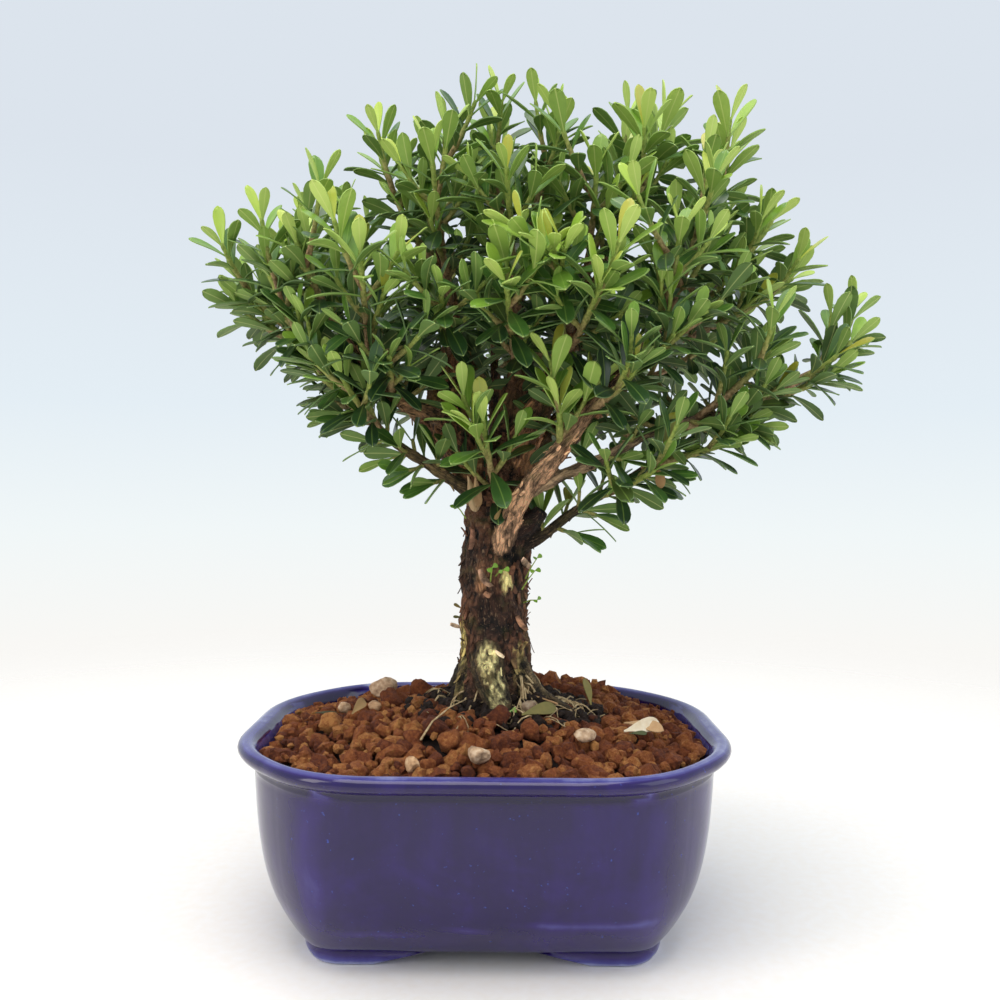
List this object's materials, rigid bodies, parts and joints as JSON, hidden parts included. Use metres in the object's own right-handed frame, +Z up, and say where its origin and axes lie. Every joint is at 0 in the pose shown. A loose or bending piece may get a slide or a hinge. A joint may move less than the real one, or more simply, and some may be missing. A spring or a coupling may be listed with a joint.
{
  "type": "harland boxwood bonsai",
  "caption": "Small broadleaf evergreen bonsai: forked trunk, leafy sprays, crumbly soil and a glazed footed rectangular pot with cut corners.",
  "frame": {"origin": "middle of the bottom of the object's own box, on the surface that the pot stands on", "axes": "+Z up the trunk, -Y to the front face of the pot, +X to the viewer's right"},
  "size_m": [0.1946, 0.1366, 0.2395],
  "materials": {
    "glazed_pot": "gloss",
    "screen": "matte",
    "soil": "rough",
    "bark": "rough",
    "foliage": "satin",
    "pebble": "rough",
    "fallen_leaf": "matte",
    "dried_leaf": "matte"
  },
  "bodies": {
    "root": {"pot": "glazed_pot", "drain_screen_left": "screen", "drain_screen_right": "screen", "soil": "soil", "trunk_and_boughs": "bark", "low_left_spray_1": "foliage", "low_left_spray_2": "foliage", "low_left_spray_3": "foliage", "low_left_spray_4": "foliage", "low_left_spray_5": "foliage", "mid_left_spray_1": "foliage", "mid_left_spray_2": "foliage", "mid_left_spray_3": "foliage", "mid_left_spray_4": "foliage", "left_bough_spray_1": "foliage", "left_bough_spray_2": "foliage", "left_bough_spray_3": "foliage", "left_bough_spray_4": "foliage", "centre_bough_spray_1": "foliage", "centre_bough_spray_2": "foliage", "centre_bough_spray_3": "foliage", "centre_bough_spray_4": "foliage", "centre_bough_spray_5": "foliage", "centre_bough_spray_6": "foliage", "right_bough_spray_1": "foliage", "right_bough_spray_2": "foliage", "right_bough_spray_3": "foliage", "right_bough_spray_4": "foliage", "right_bough_spray_5": "foliage", "front_branch_spray_1": "foliage", "front_branch_spray_2": "foliage", "front_branch_spray_3": "foliage", "front_branch_spray_4": "foliage", "right_mid_spray_1": "foliage", "right_mid_spray_2": "foliage", "right_mid_spray_3": "foliage", "right_fork_spray_1": "foliage", "right_fork_spray_2": "foliage", "right_fork_spray_3": "foliage", "right_fork_spray_4": "foliage", "low_right_spray_1": "foliage", "low_right_spray_2": "foliage", "back_left_spray_1": "foliage", "back_left_spray_2": "foliage", "back_left_spray_3": "foliage", "back_centre_spray_1": "foliage", "back_centre_spray_2": "foliage", "back_right_spray_1": "foliage", "back_right_spray_2": "foliage", "back_right_spray_3": "foliage", "back_left_spray_4": "foliage", "back_centre_spray_3": "foliage", "back_right_spray_4": "foliage", "trunk_spray_1": "foliage", "front_branch_spray_5": "foliage", "pebble_back_left": "pebble", "pebble_right": "pebble", "pebble_front": "pebble", "fallen_leaf_centre": "fallen_leaf", "dried_leaf_right": "dried_leaf"}
  },
  "joints": []
}
